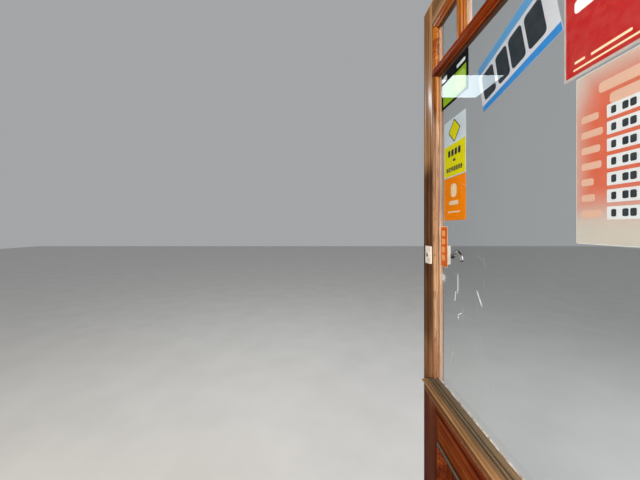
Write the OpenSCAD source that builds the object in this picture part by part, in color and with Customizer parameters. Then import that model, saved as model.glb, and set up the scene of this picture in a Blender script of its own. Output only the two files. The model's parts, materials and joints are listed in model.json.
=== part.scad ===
// Half-glazed hardwood shop door, hung on three butt hinges in its rebated timber frame.
// +Z is up and +Y points into the shop. The origin is on the back face of the hinge jamb, at floor level
// and at the middle of the frame's depth. The leaf stands open at a right angle to the frame.

/* [Leaf] */
// Width of the leaf across its inner face
leaf_w = 866; // [760:1:960]
// Height of the leaf
leaf_h = 2134; // [1980:1:2240]
// Thickness of the leaf
leaf_t = 44; // [40:0.5:54]
// How much narrower the outer face is, so that the leading edge clears the jamb
lead_bevel = 2; // [1:0.5:4]

/* [Stiles and rails] */
// Width of the stiles beside the glass, without their mouldings
stile_w = 73; // [72:1:100]
// Width of the stiles beside the lower panel
lower_stile_w = 132; // [120:1:170]
// Height of the top rail, without its moulding
top_rail_h = 83; // [70:1:120]
// Height of the bottom rail
bottom_rail_h = 225; // [180:1:280]
// Height of the lock rail's lower edge above the leaf's foot
lock_rail_z = 611; // [560:1:680]
// Height of the lock rail
lock_rail_h = 174; // [150:1:210]

/* [Top lights] */
// Distance of the transom bar's middle below the leaf's top
transom_drop = 258; // [240:1:320]
// Whole width of a glazing bar with its mouldings
bar_w = 36; // [30:1:44]
// Width of a glazing bar's nose
nose_w = 14; // [10:0.5:18]

/* [Mouldings and glass] */
// Width of the moulding round the glass
moulding_w = 23; // [16:0.5:28]
// Depth of the moulding, from the outer face to the glass
moulding_d = 15; // [12:0.5:18]
// Thickness of the glass
glass_t = 4; // [3:0.5:6]
// Cover of the glass behind its moulding
glass_cover = 12; // [6:0.5:14]
// Depth of the beads behind the glass
bead_d = 18; // [12:0.5:20]
// Gap at each mitre
mitre_gap = 0.2; // [0.1:0.05:0.5]
// Bedding between the glass, panel and beads
bedding = 0.3; // [0.2:0.1:0.6]

/* [Sill moulding] */
// Height of the sill moulding's front face
sill_face_h = 44.5; // [38:0.5:50]
// Height of the cove and fillet under the sill moulding's front face
sill_cove_h = 30; // [22:0.5:36]
// Distance of the sill moulding's foot below the lock rail's top
sill_drop = 50; // [44:1:56]
// How far the sill moulding stands out of the outer face
sill_out = 14; // [12:0.5:18]
// Rise of the sill moulding's sloping top up to the glass
sill_slope_h = 9.5; // [6:0.5:16]
// Distance of the sill moulding's ends from the leaf's edges
sill_inset = 15; // [15:0.5:24]
// Radius of the two quirks run along the sloping top
sill_quirk_r = 2.1; // [1.2:0.1:2.4]
// How much lower the sill moulding's splayed ends are
sill_splay_h = 36; // [20:1:42]
// Length of the splay at each end
sill_splay_l = 68; // [50:1:90]

/* [Lower panel] */
// Thickness of the panel
panel_t = 12; // [9:0.5:15]
// Depth from the outer face to the panel
panel_d = 16; // [12:0.5:18]
// Width of the panel moulding over the frame
bolection_lap = 8; // [5:0.5:12]
// Width of the panel moulding inside the frame
bolection_w = 22; // [16:0.5:30]
// How far the panel moulding stands out of the outer face
bolection_out = 6; // [3:0.5:9]
// Width of the beads behind the panel
panel_bead_w = 15; // [10:0.5:20]

/* [Frame] */
// Thickness of the jambs and head
jamb_t = 57; // [45:1:70]
// Depth of the frame
frame_d = 95; // [88:1:120]
// Gap between the leaf and the frame
leaf_gap = 5; // [5:0.5:7]
// Height of the threshold
threshold_h = 15; // [10:1:20]
// Thickness of the planted stops
stop_t = 14; // [12:0.5:14]
// Depth of the planted stops
stop_d = 40; // [25:1:42]
// Gap between the closed leaf and the stops
stop_gap = 5.5; // [5:0.5:6]
// Radius of the fixing holes through the jambs
fixing_r = 4; // [3:0.5:6]
// Height of the lowest fixing hole
fixing_z = 200; // [150:1:210]
// Distance between the fixing holes
fixing_pitch = 550; // [540:1:560]

/* [Hinges] */
// Height of a hinge
hinge_h = 100; // [76:1:120]
// Width of a hinge leaf on the timber
hinge_w = 35; // [28:0.5:36]
// Thickness of a hinge leaf
hinge_t = 2.5; // [2:0.1:2.5]
// Radius of the hinge knuckles
knuckle_r = 6; // [5:0.1:6.2]
// Radius of the hinge pins
hinge_pin_r = 3; // [2.5:0.1:3.5]
// Distance of the top hinge below the leaf's top
top_hinge_drop = 150; // [120:1:200]
// Distance of the bottom hinge above the leaf's foot
bottom_hinge_rise = 225; // [180:1:280]

/* [Latch] */
// Height of the latch's middle above the leaf's foot
latch_z = 1239; // [1000:1:1300]
// Width of the latch case
case_w = 66; // [60:1:70]
// Height of the latch case
case_h = 68; // [60:1:90]
// Depth of the latch case
case_d = 28; // [24:1:34]
// Distance of the latch case from the leading edge
case_inset = 3; // [2:0.5:6]
// Travel of the latch bolt
bolt_travel = 14; // [10:0.5:14]
// Height of the latch bolt
bolt_h = 23.4; // [18:0.2:28]
// Thickness of the latch bolt
bolt_t = 11.4; // [9:0.2:13]
// Radius of the lever's curve
lever_bend_r = 34; // [28:1:38]
// Radius of the lever's rod
lever_r = 5.5; // [4:0.25:6.5]
// Distance of the lever's rod from the latch case
lever_reach = 26; // [22:1:34]
// Width of the cylinder plate
plate_w = 50; // [44:1:54]
// Height of the cylinder plate
plate_h = 63; // [50:1:66]
// Thickness of the cylinder plate
plate_t = 5; // [3:0.5:6]
// Distance of the cylinder's axis from the leading edge
cylinder_set = 49; // [42:1:50]
// Radius of the cylinder's body
cylinder_r = 14; // [12:0.5:16]

/* [Hidden] */
$fn = 48;

// Small overrun of a cutting tool past the face it cuts
over = 1;
// Running clearance of a pin in its knuckle or a spindle in its bore
run_fit = 0.05;

// The leaf's own frame: x from the outer face inwards, y from the hinge edge to the leading edge, and z from
// the foot
leaf_z = threshold_h + leaf_gap;
pivot_x = -jamb_t - leaf_gap / 2;
knuckle_clear = 0.5;
pivot_out = knuckle_r + knuckle_clear;
pivot_y = frame_d / 2 + pivot_out;
pin_x = leaf_t + pivot_out;
pin_y = -leaf_gap / 2;
open_x = pivot_x - pin_x;
open_y = pivot_y - pin_y;
outer_w = leaf_w - lead_bevel;

// Frame
latch_face_x = -jamb_t - leaf_w - 2 * leaf_gap;
frame_x = latch_face_x - jamb_t;
head_z = leaf_z + leaf_h + leaf_gap;
closed_face_y = frame_d / 2 - leaf_t;
stop_y = closed_face_y - stop_gap;
fixing_y = (stop_y + frame_d / 2) / 2;
fixing_count = 4;

// Stiles, rails and openings
light_count = 4;
lead_y = outer_w - stile_w;
lead_lower_y = outer_w - lower_stile_w;
lock_top_z = lock_rail_z + lock_rail_h;
top_rail_z = leaf_h - top_rail_h;
transom_z = leaf_h - transom_drop;
bead_w = (bar_w - nose_w) / 2;
half_nose = nose_w / 2;
half_bar = bar_w / 2;
sight_hinge_y = stile_w + moulding_w;
sight_lead_y = lead_y - moulding_w;
light_w = (sight_lead_y - sight_hinge_y - (light_count - 1) * bar_w) / light_count;
bar_y = [for (i = [1 : light_count - 1]) sight_hinge_y + i * (light_w + bar_w) - half_bar];
glass_x = moulding_d + bedding;
bead_x = glass_x + glass_t + bedding;

// Sill moulding
sill_z = lock_top_z - sill_drop;
sill_nose_z = sill_z + sill_cove_h;
sill_top_z = sill_nose_z + sill_face_h;

// Hinges
knuckle_count = 5;
knuckle_gap = 0.4;
hinge_zs = [leaf_h - top_hinge_drop - hinge_h / 2,
    (leaf_h - top_hinge_drop + bottom_hinge_rise) / 2,
    bottom_hinge_rise + hinge_h / 2];

// Latch
case_y1 = leaf_w - case_inset - lead_bevel;
case_y0 = case_y1 - case_w;
case_x1 = leaf_t + case_d;
case_mid_x = leaf_t + case_d / 2;
bolt_fit = 0.3;
bolt_spare = 2;
bolt_out = bolt_travel + bolt_spare;
bolt_back = 36;
cylinder_y = outer_w - cylinder_set;
hub_r = 9;
spindle_r = 5;
spindle_l = 6;
hub_set = 24;
hub_drop = 7;
hub_y = case_y1 - hub_set;
hub_z = latch_z - hub_drop;
lever_x = case_x1 + lever_reach;
lever_from = 28;
lever_to = 165;
lever_mid_y = hub_y - lever_bend_r * cos(lever_from);
lever_mid_z = hub_z - lever_bend_r * sin(lever_from);

// Latch keep, placed round the bolt of the closed leaf
keep_clear = 5;
keep_wall = 3.3;
closed_bolt_y = closed_face_y + case_mid_x - bolt_t / 2;
closed_bolt_x = -jamb_t - leaf_gap - leaf_w - bolt_out;
keep_z = leaf_z + latch_z;
keep_y0 = frame_d / 2;
keep_y1 = closed_bolt_y + bolt_t + keep_clear + keep_wall;
keep_x0 = closed_bolt_x - keep_clear - keep_wall;
keep_h = case_h;

wood = "#8a4a1e";
wood_light = "#b5651d";
wood_dark = "#6e3818";
weathered = "#8c7448";
steel = "#b9b7b0";
plate_white = "#e6e2da";
clear_glass = [0.75, 0.85, 0.86, 0.35];

// Extrudes an outline drawn in (x, y) upwards
module along_z(z0, length) {
    translate([0, 0, z0])
        linear_extrude(length)
            children();
}

// Extrudes an outline drawn in (z, x) along y
module along_y(y0, length) {
    translate([0, y0, 0])
        rotate([-90, -90, 0])
            linear_extrude(length)
                children();
}

// Extrudes an outline drawn in (y, z) along x
module through_x(x0, length) {
    translate([x0, 0, 0])
        rotate([90, 0, 90])
            linear_extrude(length)
                children();
}

// A rectangle with round corners
module round_rectangle(width, height, r) {
    translate([r, 0])
        square([width - 2 * r, height]);
    translate([0, r])
        square([width, height - 2 * r]);
    for (x = [r, width - r], y = [r, height - r])
        translate([x, y])
            circle(r);
}

// Puts a piece in the leaf's own frame on the open leaf
module on_leaf() {
    translate([open_x, open_y, leaf_z])
        children();
}

// Section of the moulding round the glass, as [distance from the flat, depth] points: a quirk, an ovolo, a
// fillet and a deep edge
function ovolo(w, d) = let (quirk_w = 2.5, quirk_d = 4, rise = 1.5, fillet = 2, land = 7, n = 8)
    concat([[0, quirk_d], [quirk_w, quirk_d]],
        [for (i = [0 : n]) [quirk_w + (w - quirk_w - fillet) * sin(90 * i / n),
            rise + (d - rise - land) * (1 - cos(90 * i / n))]],
        [[w, d - land], [w, d]]);

// Section of the moulding round the glass, closed along the flat
function glazing_section(w) = concat(ovolo(w, moulding_d), [[0, moulding_d]]);

// Section of a splayed bead behind the glass
function bead_section(w) = let (toe = 5, flat = 0.4)
    [[0, bead_x], [w, bead_x], [w, bead_x + toe], [w * flat, bead_x + bead_d], [0, bead_x + bead_d]];

// Section of the raised moulding round the panel, counted from its edge on the frame
function bolection_section(w) = let (round = 2, cove = 3, n = 8, toe = 2, lap = bolection_lap)
    concat([[0, 0], [0, round - bolection_out], [round, -bolection_out], [lap, -bolection_out],
            [lap + cove, -cove]],
        [for (i = [0 : n]) [lap + cove + (w - lap - cove - toe) * sin(90 * i / n),
            (panel_d - toe - bedding) * (1 - cos(90 * i / n))]],
        [[w, panel_d - toe - bedding], [w, panel_d - bedding], [lap, panel_d - bedding], [lap, 0]]);

// Section of the quadrant bead behind the panel
function panel_bead_section(w) = let (sink = 1, toe = 3, x0 = panel_d + panel_t + bedding, x1 = leaf_t - sink)
    [[0, x0], [w, x0], [w, x0 + toe], [toe, x1], [0, x1]];

// The section of a kind of strip
function section(kind, w) = kind == "glazing" ? glazing_section(w)
    : kind == "bead" ? bead_section(w)
    : kind == "bolection" ? bolection_section(w)
    : panel_bead_section(w);

// A strip along an upright flat edge, mitred to the strips below and above it
module upright_strip(kind, y_flat, way, w, z0, z1, w_low, w_high) {
    intersection() {
        along_z(z0, z1 - z0)
            polygon([for (p = section(kind, w)) [p[1], y_flat + way * p[0]]]);
        through_x(-bolection_out - over, leaf_t + bolection_out + 2 * over)
            polygon([[y_flat, z0 + mitre_gap], [y_flat + way * w, z0 + w_low + mitre_gap],
                [y_flat + way * w, z1 - w_high - mitre_gap], [y_flat, z1 - mitre_gap]]);
    }
}

// A strip along a level flat edge, mitred to the strips at its hinge and leading ends
module level_strip(kind, z_flat, way, w, y0, y1, w_hinge, w_lead) {
    intersection() {
        along_y(y0, y1 - y0)
            polygon([for (p = section(kind, w)) [z_flat + way * p[0], p[1]]]);
        through_x(-bolection_out - over, leaf_t + bolection_out + 2 * over)
            polygon([[y0 + mitre_gap, z_flat], [y0 + w_hinge + mitre_gap, z_flat + way * w],
                [y1 - w_lead - mitre_gap, z_flat + way * w], [y1 - mitre_gap, z_flat]]);
    }
}

// Four mitred strips round an opening. y and z are its flat edges, w the widths at its hinge, leading, lower
// and upper sides, and made says which of the four strips are made.
module strips(kind, y, z, w, made) {
    if (made[0]) upright_strip(kind, y[0], 1, w[0], z[0], z[1], w[2], w[3]);
    if (made[1]) upright_strip(kind, y[1], -1, w[1], z[0], z[1], w[2], w[3]);
    if (made[2]) level_strip(kind, z[0], 1, w[2], y[0], y[1], w[0], w[1]);
    if (made[3]) level_strip(kind, z[1], -1, w[3], y[0], y[1], w[0], w[1]);
}

// Flat edges of top light i, from the hinge side
function light_y(i) = [i == 0 ? stile_w : bar_y[i - 1] + half_nose,
    i == light_count - 1 ? lead_y : bar_y[i] - half_nose];

// Section of a glazing bar, as [distance from its middle, depth] points
function bar_section() = let (side = ovolo(bead_w, moulding_d), n = len(side))
    concat([[half_nose, 0]], [for (p = side) [half_nose + p[0], p[1]]],
        [[half_nose, moulding_d], [half_nose, bead_x + bead_d], [-half_nose, bead_x + bead_d],
            [-half_nose, moulding_d]],
        [for (i = [n - 1 : -1 : 0]) [-half_nose - side[i][0], side[i][1]]], [[-half_nose, 0]]);

// The bevel planed along the leading edge
module leading_bevel() {
    slope = lead_bevel / leaf_t;
    waste = 3;
    along_z(-over, leaf_h + 2 * over)
        polygon([[-over, outer_w - slope * over], [leaf_t + over, leaf_w + slope * over],
            [leaf_t + over, leaf_w + waste], [-over, leaf_w + waste]]);
}

// The seats let into a hinge edge for the three hinge leaves
module hinge_seats() {
    for (z = hinge_zs)
        translate([leaf_t - hinge_w - bedding, -over, z - hinge_h / 2 - bedding])
            cube([hinge_w + bedding + over, hinge_t + over, hinge_h + 2 * bedding]);
}

// Outline of a stile from its outer edge, wide beside the panel and slim beside the glass
function stile_outline() = [[0, 0], [0, leaf_h], [stile_w, leaf_h], [stile_w, lock_top_z],
    [lower_stile_w, lock_rail_z], [lower_stile_w, 0]];

module hinge_stile() {
    color(wood)
        on_leaf()
            difference() {
                through_x(0, leaf_t)
                    polygon(stile_outline());
                hinge_seats();
            }
}

module leading_stile() {
    color(wood)
        on_leaf()
            difference() {
                through_x(0, leaf_t)
                    polygon([for (p = stile_outline()) [p[0] == 0 ? leaf_w : outer_w - p[0], p[1]]]);
                leading_bevel();
                translate([-over, cylinder_y, latch_z])
                    rotate([0, 90, 0])
                        cylinder(h = leaf_t + 2 * over, r = cylinder_r + bedding);
            }
}

module top_rail() {
    color(wood)
        on_leaf()
            translate([0, stile_w, top_rail_z])
                cube([leaf_t, lead_y - stile_w, top_rail_h]);
}

module lock_rail() {
    color(wood)
        on_leaf()
            through_x(0, leaf_t)
                polygon([[stile_w, lock_top_z], [lead_y, lock_top_z],
                    [lead_lower_y, lock_rail_z], [lower_stile_w, lock_rail_z]]);
}

module bottom_rail() {
    color(wood)
        on_leaf()
            translate([0, lower_stile_w, 0])
                cube([leaf_t, lead_lower_y - lower_stile_w, bottom_rail_h]);
}

// The notch in the transom bar that takes the mitred foot of the upright bar at y
function foot_notch(y) = [[y - half_bar, half_bar], [y - half_nose, half_nose],
    [y + half_nose, half_nose], [y + half_bar, half_bar]];

module transom_bar() {
    outline = concat([[stile_w, -half_nose], [stile_w, half_nose], [sight_hinge_y, half_bar]],
        [for (y = bar_y) each foot_notch(y)],
        [[sight_lead_y, half_bar], [lead_y, half_nose], [lead_y, -half_nose],
            [sight_lead_y, -half_bar], [sight_hinge_y, -half_bar]]);
    color(wood_dark)
        on_leaf()
            translate([0, 0, transom_z])
                intersection() {
                    along_y(stile_w, lead_y - stile_w)
                        polygon(bar_section());
                    through_x(-over, leaf_t + 2 * over)
                        polygon(outline);
                }
}

module glazing_bar(i) {
    y = bar_y[i];
    z0 = transom_z + half_nose;
    color(wood_light)
        on_leaf()
            intersection() {
                along_z(z0, top_rail_z - z0)
                    polygon([for (p = bar_section()) [p[1], y + p[0]]]);
                through_x(-over, leaf_t + 2 * over)
                    polygon([[y - half_nose, z0], [y + half_nose, z0], [y + half_bar, transom_z + half_bar],
                        [y + half_bar, top_rail_z - moulding_w], [y + half_nose, top_rail_z],
                        [y - half_nose, top_rail_z], [y - half_bar, top_rail_z - moulding_w],
                        [y - half_bar, transom_z + half_bar]]);
            }
}

// Section of the sill moulding in (z, x), cut off at x_back: a fillet and a cove, a plain face with a rounded
// lower edge, and a top that slopes up to the glass, with two quirks and a crowned band run along it
module sill_section(x_back) {
    nose = 3;
    edge_r = 7;
    fillet_h = 6;
    fillet_out = 3;
    cove_out = 2;
    quirk_shares = [0.02, 0.35];
    crown = 1.2;
    crown_from = 0.46;
    n = 6;
    run = sill_out - nose + moulding_d;
    low = min(lock_top_z, sill_top_z);
    difference() {
        polygon(concat([[sill_z, 0], [sill_z, -fillet_out], [sill_z + fillet_h, -fillet_out]],
            [for (i = [0 : n]) [sill_z + fillet_h + (sill_cove_h - fillet_h) * sin(90 * i / n),
                -cove_out - (sill_out - edge_r - cove_out) * (1 - cos(90 * i / n))]],
            [for (i = [1 : n]) [sill_nose_z + edge_r * (1 - cos(90 * i / n)),
                -sill_out + edge_r * (1 - sin(90 * i / n))]],
            [[sill_top_z - nose, -sill_out], [sill_top_z, nose - sill_out]],
            [for (i = [0 : n]) let (t = i / n, k = crown_from + (1 - crown_from) * t)
                [sill_top_z + sill_slope_h * k + 4 * crown * t * (1 - t), nose - sill_out + run * k]],
            [[low, moulding_d], [low, 0]]));
        translate([sill_z - over, x_back])
            square([sill_cove_h + sill_face_h + sill_slope_h + 2 * over, moulding_d + 2 * over]);
        for (k = quirk_shares)
            translate([sill_top_z + sill_slope_h * k, nose - sill_out + run * k])
                circle(sill_quirk_r);
    }
}

// Outline of the sill moulding's front part, its ends cut down on the splay
function sill_outline() = let (y0 = sill_inset, y1 = leaf_w - sill_inset, low = sill_top_z - sill_splay_h,
        high = sill_top_z + sill_slope_h, l = sill_splay_l * (1 + sill_slope_h / sill_splay_h))
    [[y0, sill_z - over], [y0, low], [y0 + l, high], [y0 + l, high + over],
        [y1 - l, high + over], [y1 - l, high], [y1, low], [y1, sill_z - over]];

module sill_moulding() {
    color(weathered)
        on_leaf() {
            intersection() {
                along_y(sill_inset, leaf_w - 2 * sill_inset)
                    sill_section(0);
                through_x(-sill_out - over, sill_out + 2 * over)
                    polygon(sill_outline());
            }
            along_y(sight_hinge_y + mitre_gap, sight_lead_y - sight_hinge_y - 2 * mitre_gap)
                intersection() {
                    sill_section(moulding_d);
                    translate([lock_top_z, -over])
                        square([sill_slope_h + sill_face_h, moulding_d + over]);
                }
        }
}

module lower_panel() {
    color(wood_dark)
        on_leaf()
            translate([panel_d, lower_stile_w + bedding, bottom_rail_h + bedding])
                cube([panel_t, lead_lower_y - lower_stile_w - 2 * bedding,
                    lock_rail_z - bottom_rail_h - 2 * bedding]);
}

module panel_moulding() {
    w = bolection_lap + bolection_w;
    color(wood_light)
        on_leaf()
            strips("bolection", [lower_stile_w - bolection_lap, lead_lower_y + bolection_lap],
                [bottom_rail_h - bolection_lap, lock_rail_z + bolection_lap], [w, w, w, w],
                [true, true, true, true]);
}

module panel_beads() {
    w = panel_bead_w;
    color(wood)
        on_leaf()
            strips("panel_bead", [lower_stile_w, lead_lower_y], [bottom_rail_h, lock_rail_z],
                [w, w, w, w], [true, true, true, true]);
}

module pane_moulding() {
    color(wood_light)
        on_leaf()
            strips("glazing", [stile_w, lead_y], [lock_top_z, transom_z - half_nose],
                [moulding_w, moulding_w, 0, bead_w], [true, true, false, false]);
}

module pane_beads() {
    color(wood)
        on_leaf()
            strips("bead", [stile_w, lead_y], [lock_top_z, transom_z - half_nose],
                [moulding_w, moulding_w, moulding_w, bead_w], [true, true, true, true]);
}

// Widths of the strips round top light i
function light_widths(i) = [i == 0 ? moulding_w : bead_w,
    i == light_count - 1 ? moulding_w : bead_w, bead_w, moulding_w];

module top_light_moulding() {
    color(wood_light)
        on_leaf()
            for (i = [0 : light_count - 1])
                strips("glazing", light_y(i), [transom_z + half_nose, top_rail_z], light_widths(i),
                    [i == 0, i == light_count - 1, false, true]);
}

module top_light_beads() {
    color(wood)
        on_leaf()
            for (i = [0 : light_count - 1])
                strips("bead", light_y(i), [transom_z + half_nose, top_rail_z], light_widths(i),
                    [true, true, true, true]);
}

// One sheet of glass, let behind its mouldings by the cover or as far as a slim bar allows
module pane(y, z, w) {
    c = [for (width = w) max(0, width - glass_cover)];
    color(clear_glass)
        on_leaf()
            translate([glass_x, y[0] + c[0] + bedding, z[0] + c[2] + bedding])
                cube([glass_t, y[1] - y[0] - c[0] - c[1] - 2 * bedding,
                    z[1] - z[0] - c[2] - c[3] - 2 * bedding]);
}

module main_pane() {
    pane([stile_w, lead_y], [lock_top_z, transom_z - half_nose],
        [moulding_w, moulding_w, moulding_w, bead_w]);
}

module top_pane(i) {
    pane(light_y(i), [transom_z + half_nose, top_rail_z], light_widths(i));
}

// Knuckles of a hinge on its pin at the origin, every second one from the given start
module knuckles(start) {
    pitch = hinge_h / knuckle_count;
    for (i = [start : 2 : knuckle_count - 1])
        difference() {
            union() {
                translate([0, 0, i * pitch + knuckle_gap / 2])
                    cylinder(h = pitch - knuckle_gap, r = knuckle_r);
                translate([-pivot_out - knuckle_clear, leaf_gap / 2, i * pitch + knuckle_gap / 2])
                    cube([pivot_out + knuckle_clear, hinge_t, pitch - knuckle_gap]);
            }
            translate([0, 0, i * pitch - over])
                cylinder(h = pitch + 2 * over, r = hinge_pin_r + run_fit);
        }
}

// A hinge leaf with its pin at the origin, its plate reaching back along -x behind the pin's +y side
module hinge_leaf(start) {
    union() {
        knuckles(start);
        translate([-pivot_out - hinge_w, leaf_gap / 2, 0])
            cube([hinge_w, hinge_t, hinge_h]);
    }
}

module frame_hinge_leaf(i) {
    color(steel)
        translate([pivot_x, pivot_y, leaf_z + hinge_zs[i] - hinge_h / 2])
            rotate([0, 0, 90])
                mirror([0, 1, 0])
                    hinge_leaf(0);
}

module door_hinge_leaf(i) {
    color(steel)
        on_leaf()
            translate([pin_x, pin_y, hinge_zs[i] - hinge_h / 2])
                hinge_leaf(1);
}

module hinge_pin(i) {
    cap_h = 2.5;
    cap_over = 1.5;
    cap_r = hinge_pin_r + cap_over;
    color(steel)
        translate([pivot_x, pivot_y, leaf_z + hinge_zs[i] - hinge_h / 2]) {
            translate([0, 0, -bedding])
                cylinder(h = hinge_h + 2 * bedding, r = hinge_pin_r);
            for (z = [-cap_h - bedding, hinge_h + bedding])
                translate([0, 0, z])
                    cylinder(h = cap_h, r = cap_r);
        }
}

// The seats let into the hinge jamb for the three hinge leaves
module jamb_hinge_seats() {
    for (z = hinge_zs)
        translate([-jamb_t - over, frame_d / 2 - hinge_w - bedding, leaf_z + z - hinge_h / 2 - bedding])
            cube([hinge_t + over, hinge_w + bedding + over, hinge_h + 2 * bedding]);
}

// The fixing holes through a jamb whose outer side is at x
module fixing_holes(x) {
    for (i = [0 : fixing_count - 1])
        translate([x - over, fixing_y, fixing_z + i * fixing_pitch])
            rotate([0, 90, 0])
                cylinder(h = jamb_t + 2 * over, r = fixing_r);
}

module hinge_jamb() {
    color(wood)
        difference() {
            translate([-jamb_t, -frame_d / 2, 0])
                cube([jamb_t, frame_d, head_z]);
            jamb_hinge_seats();
            fixing_holes(-jamb_t);
        }
}

module latch_jamb() {
    color(wood)
        difference() {
            translate([frame_x, -frame_d / 2, 0])
                cube([jamb_t, frame_d, head_z]);
            fixing_holes(frame_x);
        }
}

module frame_head() {
    color(wood)
        translate([frame_x, -frame_d / 2, head_z])
            cube([-frame_x, frame_d, jamb_t]);
}

// A low sill board with a rounded-off outer edge
module threshold() {
    edge_y = 5;
    edge_share = 0.55;
    edge_z = threshold_h * edge_share;
    half_d = frame_d / 2;
    color(wood_dark)
        translate([latch_face_x, 0, 0])
            rotate([90, 0, 90])
                linear_extrude(-jamb_t - latch_face_x)
                    polygon([[-half_d, 0], [-half_d, edge_z], [edge_y - half_d, threshold_h],
                        [half_d, threshold_h], [half_d, 0]]);
}

// A planted stop from one corner, with its inner arris taken off
module stop_piece(section_points, length) {
    linear_extrude(length)
        polygon(section_points);
}

module side_stop(x_face, way) {
    arris = 3;
    color(wood_light)
        translate([x_face, 0, threshold_h])
            stop_piece([[0, stop_y], [way * stop_t, stop_y], [way * stop_t, stop_y - stop_d + arris],
                [way * (stop_t - arris), stop_y - stop_d], [0, stop_y - stop_d]],
                head_z - stop_t - threshold_h);
}

module hinge_stop() {
    side_stop(-jamb_t, -1);
}

module latch_stop() {
    side_stop(latch_face_x, 1);
}

module head_stop() {
    arris = 3;
    color(wood_light)
        translate([latch_face_x, 0, head_z])
            rotate([90, 0, 90])
                stop_piece([[stop_y, 0], [stop_y, -stop_t], [stop_y - stop_d + arris, -stop_t],
                    [stop_y - stop_d, arris - stop_t], [stop_y - stop_d, 0]], -jamb_t - latch_face_x);
}

// The keep on the latch jamb's inner face, with the pocket for the bolt open towards the leaf
module latch_keep() {
    pocket_h = bolt_h + 2 * keep_clear;
    color(steel)
        difference() {
            translate([keep_x0, keep_y0, keep_z - keep_h / 2])
                cube([latch_face_x - keep_x0, keep_y1 - keep_y0, keep_h]);
            translate([keep_x0 + keep_wall, closed_bolt_y - keep_clear, keep_z - pocket_h / 2])
                cube([latch_face_x - keep_x0, bolt_t + 2 * keep_clear, pocket_h]);
        }
}

// The rim latch's case: a cast box with chamfered front edges, bored for the spindle and slotted for the bolt
module latch_case() {
    chamfer = 3;
    corner = 4;
    low_z = latch_z - case_h / 2;
    high_z = latch_z + case_h / 2;
    face_x = case_x1 - chamfer;
    bore_l = bolt_back + bolt_travel + 2 * bolt_fit;
    color(plate_white)
        on_leaf()
            difference() {
                intersection() {
                    through_x(leaf_t, case_d)
                        translate([case_y0, low_z])
                            round_rectangle(case_w, case_h, corner);
                    along_z(low_z, case_h)
                        polygon([[leaf_t, case_y0], [face_x, case_y0], [case_x1, case_y0 + chamfer],
                            [case_x1, case_y1 - chamfer], [face_x, case_y1], [leaf_t, case_y1]]);
                    along_y(case_y0, case_w)
                        polygon([[low_z, leaf_t], [low_z, face_x], [low_z + chamfer, case_x1],
                            [high_z - chamfer, case_x1], [high_z, face_x], [high_z, leaf_t]]);
                }
                translate([case_mid_x - bolt_t / 2 - bolt_fit, case_y1 - bore_l,
                        latch_z - bolt_h / 2 - bolt_fit])
                    cube([bolt_t + 2 * bolt_fit, bore_l + over, bolt_h + 2 * bolt_fit]);
                translate([case_x1 - spindle_l - bedding, hub_y, hub_z])
                    rotate([0, 90, 0])
                        cylinder(h = spindle_l + bedding + over, r = spindle_r + run_fit);
            }
}

module cylinder_plate() {
    corner = 6;
    color(plate_white)
        on_leaf()
            difference() {
                through_x(-plate_t, plate_t)
                    translate([cylinder_y - plate_w / 2, latch_z - plate_h / 2])
                        round_rectangle(plate_w, plate_h, corner);
                translate([-plate_t - over, cylinder_y, latch_z])
                    rotate([0, 90, 0])
                        cylinder(h = plate_t + 2 * over, r = cylinder_r + bedding);
            }
}

// The lock cylinder, through the plate and the stile to the latch case
module cylinder_body() {
    face_out = 2;
    rim = 2;
    rim_r = cylinder_r + rim;
    color(steel)
        on_leaf()
            translate([0, cylinder_y, latch_z])
                rotate([0, 90, 0]) {
                    translate([0, 0, -plate_t])
                        cylinder(h = plate_t + leaf_t - bedding, r = cylinder_r);
                    translate([0, 0, -plate_t - face_out])
                        cylinder(h = face_out, r = rim_r);
                }
}

module lever_handle() {
    end_r = lever_r + 1;
    color(steel)
        on_leaf() {
            translate([case_x1 - spindle_l, hub_y, hub_z])
                rotate([0, 90, 0])
                    cylinder(h = spindle_l + bedding + over, r = spindle_r);
            translate([case_x1 + bedding, hub_y, hub_z])
                rotate([0, 90, 0])
                    cylinder(h = lever_reach - bedding, r = hub_r);
            translate([lever_x, hub_y, hub_z])
                rotate([lever_from, 0, 0])
                    sphere(hub_r);
            translate([lever_x, lever_mid_y, lever_mid_z])
                rotate([0, 90, 0])
                    rotate([0, 0, 90 + lever_from])
                        rotate_extrude(angle = lever_to - lever_from)
                            translate([lever_bend_r, 0])
                                circle(lever_r);
            translate([lever_x, lever_mid_y + lever_bend_r * cos(lever_to),
                    lever_mid_z + lever_bend_r * sin(lever_to)])
                sphere(end_r);
        }
}

// The sprung bolt, bevelled on the side that meets the keep first
module latch_bolt() {
    y0 = case_y1 - bolt_back;
    y1 = leaf_w + bolt_out;
    x0 = case_mid_x - bolt_t / 2;
    tip = 3;
    color(steel)
        on_leaf()
            along_z(latch_z - bolt_h / 2, bolt_h)
                polygon([[x0, y0], [x0, y1 - bolt_out + over], [x0 + bolt_t - tip, y1], [x0 + bolt_t, y1],
                    [x0 + bolt_t, y0]]);
}

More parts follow.
